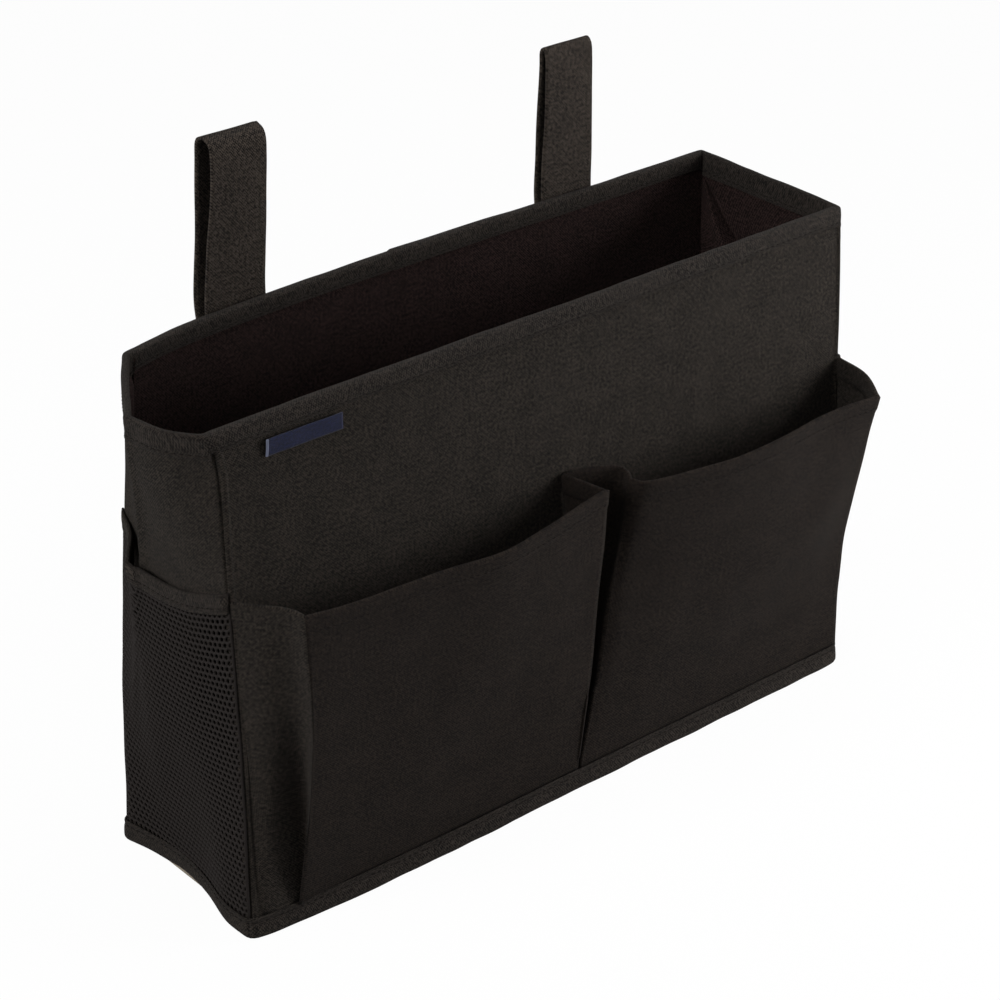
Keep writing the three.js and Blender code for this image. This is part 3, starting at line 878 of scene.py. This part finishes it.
# Each pocket's sections from its left seam to its right one, from the foot to the hem, in millimetres,
# and which of their points make the left pleat, the front and the right pleat.
POCKET_PANELS = (0, 4), (3, 9), (8, 11)
left_pocket = [
    [(-164.6, -46.6, 9), (-156, -50.6, 9), (-141, -50.8, 9), (-145.4, -52.2, 9), (-118, -52, 9),
     (-85, -52.2, 9), (-57, -52, 9), (-28, -51.7, 9), (3.6, -51.5, 9), (5.2, -51, 9), (4.4, -50.6, 9)],
    [(-163.4, -46.4, 58), (-155.5, -53.4, 58), (-139.8, -53.4, 58), (-146, -64.5, 58), (-118, -62, 58),
     (-85, -60.5, 58), (-57, -60, 58), (-28, -59.5, 58), (8, -57, 58), (7.5, -52.5, 58), (6, -48.6, 58)],
    [(-163.2, -46.4, 106), (-156.6, -56.8, 106), (-146.6, -63.4, 106), (-146, -72.4, 106),
     (-118, -70, 106), (-85, -70, 106), (-57, -71, 106), (-28, -69, 106), (8, -63.2, 106),
     (6.5, -56, 106), (4.5, -48.6, 106)],
    [(-163, -46.4, 155.3), (-157.6, -56.4, 155.8), (-150.6, -66.2, 155.8), (-147, -74.2, 154.6),
     (-118, -73, 151.6), (-85, -76, 151), (-57, -80.3, 150.8), (-28, -77.4, 151), (8, -70.6, 153),
     (5.5, -60, 153.6), (2.2, -48.6, 154.4)],
]
right_pocket = [
    [(5.2, -50.6, 9), (6.4, -50.8, 9), (7, -51, 9), (5.2, -51.5, 9), (20, -51.5, 9), (50, -51.3, 9),
     (98, -51, 9), (134, -50.7, 9), (163, -50.2, 9), (164.2, -49.4, 9), (163.8, -46.4, 9)],
    [(7.6, -48.6, 58), (10.4, -49.8, 58), (14, -51.2, 58), (13, -55.6, 58), (22, -58.6, 58),
     (50, -62, 58), (98, -62, 58), (134, -59, 58), (160.8, -54.9, 58), (163, -51.4, 58),
     (163.6, -46.2, 58)],
    [(6, -48.6, 106), (12, -51, 106), (18.2, -54.6, 106), (17.3, -61, 106), (26, -66, 106),
     (52, -71, 106), (98, -73, 106), (132, -70.5, 106), (158.5, -65.5, 106), (162, -57, 106),
     (163.6, -46.2, 106)],
    [(2.8, -48.6, 154.4), (13.6, -53.6, 155), (23.8, -60, 154.2), (22.8, -66.6, 151.4), (28, -74.4, 151),
     (53, -79.2, 151), (98, -82.6, 151), (130, -80, 151), (156, -79.5, 150.8), (162.2, -64.6, 155),
     (163.6, -46.2, 156.8)],
]


def hemmed(rows, up):
    """A pocket's rows with the hem turned in along the top, their shares, and the ways out before it."""
    out = outward(rows)
    rows[-HEM_ROWS:] += HEM_OUT * out[-HEM_ROWS:]
    under_edge = rows[-1] + HEM_EDGE * (rows[-2] - rows[-1])
    crest = rows[-1] - HEM_THICK / 2 * MM * out[-1]
    turned = [under_edge, crest, under_edge - HEM_THICK * MM * out[-1]]
    inside = [rows[-1 - step] - away * MM * out[-1 - step] for step, away in enumerate(HEM_BEHIND, 1)]
    inside_up = 1 + np.arange(1, len(inside) + 1) / POCKET_STEPS
    up = np.concatenate((up[:-1], [1 - HEM_TURN, 1, 1 + HEM_TURN], inside_up))
    return np.concatenate((rows[:-1], turned, inside)), up, out


def pocket(side, sections, counts, seed):
    """One front pocket: its front and both pleats as one cloth, with its hem sewn down."""
    up = np.linspace(0, 1, POCKET_STEPS + 1)
    parts = []
    for (first, end), count in zip(POCKET_PANELS, counts):
        panel = [section[first:end] for section in sections]
        parts.append(loft(panel, np.linspace(0, 1, count + 1), up))
    rows = np.concatenate([parts[0][:, :-1], parts[1][:, :-1], parts[2]], axis=1)
    widths = np.linalg.norm(np.diff(rows[-1], axis=0), axis=1)
    width = widths.sum()
    across = np.concatenate(([0], np.cumsum(widths) / width))
    folds = [counts[0], counts[0] + counts[1]]
    for fold in folds:
        pressed = rows[:, fold] - 0.5 * (rows[:, fold - 2] + rows[:, fold + 2])
        rows[:, fold] += POCKET_FOLD * unit(pressed)
    held = np.minimum(across, 1 - across)[None, :] * width
    loose = np.clip(held / HELD_AT_SEAMS, 0, 1) * np.clip(up[:, None] / HELD_AT_FOOT, 0, 1)
    swelled = ruffled(rows, size=60 * MM, depth=2.6 * MM, seed=seed)
    swelled = ruffled(swelled, size=24 * MM, depth=0.5 * MM, seed=seed + 3)
    rows, up, out = hemmed(rows + (swelled - rows) * loose[..., None], up)

    flat = width, POCKET_LENGTH
    # The front and the inner pleat get the darker copy of the cloth, painted shade; the outer pleat gets
    # the wall's cloth.
    piece = cloth(side + "_pocket_cloth", rows, across, up, flat, shaded_pocket_oxford, POCKET_CLOTH)
    piece.data.materials.append(oxford_cloth)
    columns = len(across) - 1
    first, end = (0, folds[0]) if side == "left" else (folds[1], columns)
    for face in piece.data.polygons:
        face.material_index = int(first <= face.index % columns < end)
    nodes = [side + "_pocket_front", side + "_pocket_outer_gusset", side + "_pocket_inner_gusset"]
    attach(piece, "caddy")
    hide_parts(*nodes)
    sewn = POCKET_STEPS + 1 - HEM_ROWS
    thread = stitches(side + "_pocket_stitches", rows[sewn], out[sewn])
    for part in (piece, thread):
        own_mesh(part)


pocket("left", left_pocket, (OUTER_PLEAT_STEPS, POCKET_FRONT_STEPS, INNER_PLEAT_STEPS), 21.0)
pocket("right", right_pocket, (INNER_PLEAT_STEPS, POCKET_FRONT_STEPS, OUTER_PLEAT_STEPS), 22.0)

# Label. A small folded tab of navy satin ribbon, caught along the lower edge of the rim tape. It is
# blank, and a thin strip along its left end is drawn pale.

LABEL = 0.6 * MM
LABEL_WIDTH = 35 * MM
LABEL_HEIGHT = 7.8 * MM
LABEL_PALE_STRIP = 0.9 * MM

# Satin ribbon has long fine threads, so it is smoother than the cloth and its blue is even.
navy_satin = woven(
    "Woven navy satin", "#080b1c", "#181e40",
    pitch=0.45 * MM, relief=0.08 * MM, roughness=0.5, sheen=0.1,
)

label_tree = navy_satin.node_tree
label_colour = label_tree.nodes["Principled BSDF"].inputs["Base Color"]
label_navy = label_colour.links[0].from_socket
label_flat = add(label_tree, "UVMap", {}, uv_map="weave").outputs[0]
label_place = add(label_tree, "SeparateXYZ", {0: label_flat}).outputs[0]
# A thin strip along the tab's left end is drawn pale.
label_pale_strip = maths(label_tree, "LESS_THAN", label_place, LABEL_PALE_STRIP)
label_tree.links.new(mixed(label_tree, label_pale_strip, label_navy, linear("#6f7488")), label_colour)

# The tab's lower edge, middle and upper edge, in millimetres. It leans in towards its lower edge.
label_low, label_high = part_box("label")
label_front = label_low.y / MM
label_left = label_low.x / MM - 1
label_right = label_high.x / MM - 0.6
label_top = label_high.z / MM + 0.6
label_middle = label_top - 3.6
label_foot = label_top - 7.2
label_sections = [
    [(label_left - 0.3, label_front - 0.4, label_foot),
     (label_right + 0.2, label_front - 0.3, label_foot)],
    [(label_left, label_front - 0.7, label_middle), (label_right, label_front - 0.7, label_middle)],
    [(label_left, label_front - 1.1, label_top), (label_right, label_front - 1.1, label_top)],
]
label_across, label_up = grid(columns=41, rows=13)
label_rows = loft(label_sections, label_across, label_up)
label_rows = ruffled(label_rows, size=10 * MM, depth=0.3 * MM, seed=31.0)
label_size = LABEL_WIDTH, LABEL_HEIGHT
tab = cloth("blank_label", label_rows, label_across, label_up, label_size, navy_satin, LABEL)
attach(tab, "caddy")
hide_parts("label")

# Straps. Each is a length of woven strap sewn down the back. It stands up over the rim, folds over and
# comes down behind as a tongue, and hook tape on the tongue closes on loop tape below the rim.

STRAP = 1.3 * MM
STRAP_TURN = 60 * MM
RIM_HEIGHT = 228 * MM

# Strap is woven from thicker yarn than the cloth, which gives it a coarser and paler grain.
strap_webbing = woven(
    "Woven polyester strap", "#0d0a09", "#4b433c",
    pitch=0.65 * MM, relief=0.25 * MM, roughness=0.85, sheen=0.02,
)

# Each strap's middle, as its distance right of the CAD strap, its place from front to back and its
# height, in millimetres: the standing ply from its foot to the top, then the tongue from the top down.
left_standing = [
    (0, 49.5, 178), (0, 49.5, 205), (0, 49.7, 228), (1.4, 49, 245), (3.6, 47.6, 268), (5.2, 46.8, 288),
    (5.5, 47.4, 296.6), (5.5, 52, 299.4),
]
left_tongue = [
    (5.5, 52, 299.4), (5.4, 56.8, 297), (5.2, 58.2, 289), (3.6, 58, 266), (0.4, 56.6, 243),
    (-1.4, 55.2, 229), (-1.4, 54, 214), (-1, 53.6, 195), (-1, 53.6, 178),
]
right_standing = [
    (1, 49.5, 178), (1, 49.5, 205), (1, 49.7, 228), (1.5, 49.2, 245), (2.3, 48.4, 268), (3, 48, 287),
    (3, 48.4, 293.6), (3, 50.4, 295.6),
]
right_tongue = [
    (3, 50.4, 295.6), (3, 52.4, 293.4), (2.9, 52.8, 286), (2.3, 53.4, 266), (1.5, 54.2, 245),
    (1, 54.6, 229), (1, 53.8, 212), (1, 53.6, 195), (1, 53.6, 178),
]


def strap_ply(name, middle, line, width, turns, nodes):
    """A length of strap along its middle line. Above the rim it turns to its tilt and its twist."""
    across, up = grid(columns=17, rows=81)
    spine = along([np.array(point, float) * MM for point in line], up)
    above_rim = np.clip((spine[:, 2] - RIM_HEIGHT) / STRAP_TURN, 0, 1)
    tilt, twist = turns[0] * above_rim, turns[1] * above_rim
    level = np.cos(tilt)
    wide = -width * np.column_stack((level * np.cos(twist), level * np.sin(twist), -np.sin(tilt)))
    rows = spine[:, None] + np.array((middle, 0, 0)) + wide[:, None] * (across[None, :, None] - 0.5)
    rows = ruffled(rows, size=25 * MM, depth=0.6 * MM, seed=41.0 + middle * 50)
    flat = width, np.linalg.norm(np.diff(spine, axis=0), axis=1).sum()
    piece = cloth(name, rows, across, up, flat, strap_webbing, STRAP, offset=0)
    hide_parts(*nodes)
    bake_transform(piece)


def strap(side, standing, tongue, width, turns):
    """One strap: the standing ply bends at the rim, and the tongue at the top fold."""
    low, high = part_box(side + "_strap")
    middle = (low.x + high.x) / 2
    nodes = [side + "_strap_anchor", side + "_strap"]
    strap_ply(side + "_strap_front", middle, standing, width, turns, nodes)
    nodes = [side + "_tongue"]
    strap_ply(side + "_strap_back", middle, tongue, width, turns, nodes)


strap("left", left_standing, left_tongue, 29 * MM, (math.radians(3.5), math.radians(8)))
strap("right", right_standing, right_tongue, 28 * MM, (math.radians(4), math.radians(7)))

# Hook and loop tape. Loop tape is a brushed pile sewn to the strap's foot, and hook tape is a woven
# ground with rows of small stiff hooks. Both are black.

PILE_MARGIN = 0.2 * MM

# Brushed fibres stand up in small tufts, which makes a deep dull black with a little fuzz of light.
pile = fibrous(
    "Brushed nylon pile", "#100e0e", "#282422", per_mm=1.2, detail=8, relief=0.8 * MM,
    settings={"Roughness": 0.95, "Specular IOR Level": 0.1, "Sheen Weight": 0.03},
)


def grip_tape(name, node, body, out):
    """A strip of grip tape where its CAD solid lies, facing out or in."""
    low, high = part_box(node)
    face = (high.y if out > 0 else low.y) / MM
    across, up = grid(columns=41, rows=61)
    left, right = (high.x, low.x) if out > 0 else (low.x, high.x)
    ends = [[(left / MM, face, z / MM), (right / MM, face, z / MM)] for z in (low.z, high.z)]
    rows = ruffled(loft(ends, across, up), size=1.6 * MM, depth=0.25 * MM, seed=51.0)
    flat = high.x - low.x, high.z - low.z
    tape = cloth(name, rows, across, up, flat, pile, high.y - low.y - PILE_MARGIN)
    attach(tape, body)
    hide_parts(node)


for side in ("left", "right"):
    grip_tape(side + "_loop_pile", side + "_loop_tape", "caddy", 1)
    grip_tape(side + "_hook_ground", side + "_hook_tape", side + "_tongue", -1)

# Studio. A pale floor and background, a soft lamp low at the right front, one at the left and a weak one
# above, and the camera where the photographer stood.

VIEW_TARGET = Vector((-30.5, -47.5, 152.9)) * MM
VIEW_AZIMUTH = math.radians(-38.03)
VIEW_ELEVATION = math.radians(27.52)
VIEW_ROLL = math.radians(-2.07)
VIEW_DISTANCE = 1.142
LENS = 100.8
LAMP_AIM = 0, 0, 0.12
FLOOR_SIZE = 6
FLOOR_DROP = 0.2 * MM
FLOOR_GLOW = 0.97
FLOOR_BOUNCE = 0.45, 0.45, 0.45, 1
AMBIENT = 0.04

# Backdrop paper is seen as an even white that keeps a trace of shadow, and throws little light back.
floor_white, floor_tree, floor_shader = new_material(
    "Matt white backdrop paper", {"Base Color": linear("#f2f2f2"), "Roughness": 0.9}
)
floor_rays = add(floor_tree, "LightPath", {}).outputs["Is Camera Ray"]
floor_glow = add(floor_tree, "Emission", {"Color": (1, 1, 1, 1), "Strength": 1.0}).outputs[0]
floor_dim = add(floor_tree, "BsdfDiffuse", {"Color": FLOOR_BOUNCE}).outputs[0]
floor_seen = add(floor_tree, "MixShader", {0: FLOOR_GLOW, 1: floor_shader.outputs[0], 2: floor_glow})
floor_mix = add(floor_tree, "MixShader", {0: floor_rays, 1: floor_dim, 2: floor_seen.outputs[0]})
floor_tree.links.new(floor_mix.outputs[0], floor_tree.nodes["Material Output"].inputs["Surface"])

floor_mesh = bmesh.new()
bmesh.ops.create_grid(floor_mesh, x_segments=1, y_segments=1, size=FLOOR_SIZE)
floor = new_piece("floor", floor_mesh, floor_white)
floor.data.transform(Matrix.Translation((0, 0, -FLOOR_DROP)))

world = bpy.context.scene.world or bpy.data.worlds.new("studio")
bpy.context.scene.world = world
world.use_nodes = True
sky = world.node_tree
sky_rays = add(sky, "LightPath", {}).outputs
sky_mirrored = maths(sky, "MAXIMUM", sky_rays["Is Glossy Ray"], sky_rays["Is Transmission Ray"])
sky_seen = maths(sky, "MAXIMUM", sky_rays["Is Camera Ray"], sky_mirrored)
sky_strength = add(sky, "MapRange", {0: sky_seen, 3: AMBIENT, 4: 1.0}).outputs[0]
sky_light = sky.nodes["Background"]
sky_light.inputs["Color"].default_value = (1, 1, 1, 1)
sky.links.new(sky_strength, sky_light.inputs["Strength"])


def soft_lamp(name, place, size, power):
    """A square softbox at a place, turned to the caddy."""
    lamp = bpy.data.lights.new(name, "AREA")
    lamp.shape = "SQUARE"
    lamp.size = size
    lamp.energy = power
    holder = bpy.data.objects.new(name, lamp)
    holder.location = place
    holder.rotation_euler = (Vector(LAMP_AIM) - Vector(place)).to_track_quat("-Z", "Y").to_euler()
    bpy.context.scene.collection.objects.link(holder)


soft_lamp("key_softbox", (0.64, -0.55, 0.31), size=0.4, power=7.5)
soft_lamp("left_softbox", (-1.5, -0.1, 0.9), size=0.8, power=20.5)
soft_lamp("top_softbox", (0.1, -0.1, 1.8), size=0.8, power=8)

camera = bpy.data.cameras.new("camera")
camera.lens = LENS
camera.sensor_width = 36
camera.clip_start = 0.05
view = bpy.data.objects.new("camera", camera)
toward = Vector((
    math.sin(VIEW_AZIMUTH) * math.cos(VIEW_ELEVATION),
    -math.cos(VIEW_AZIMUTH) * math.cos(VIEW_ELEVATION),
    math.sin(VIEW_ELEVATION),
))
view.location = VIEW_TARGET + toward * VIEW_DISTANCE
view.rotation_mode = "QUATERNION"
view.rotation_quaternion = (-toward).to_track_quat("-Z", "Y") @ Quaternion((0, 0, 1), VIEW_ROLL)
bpy.context.scene.collection.objects.link(view)
bpy.context.scene.camera = view
bpy.context.scene.view_settings.view_transform = "Standard"

bpy.context.view_layer.update()
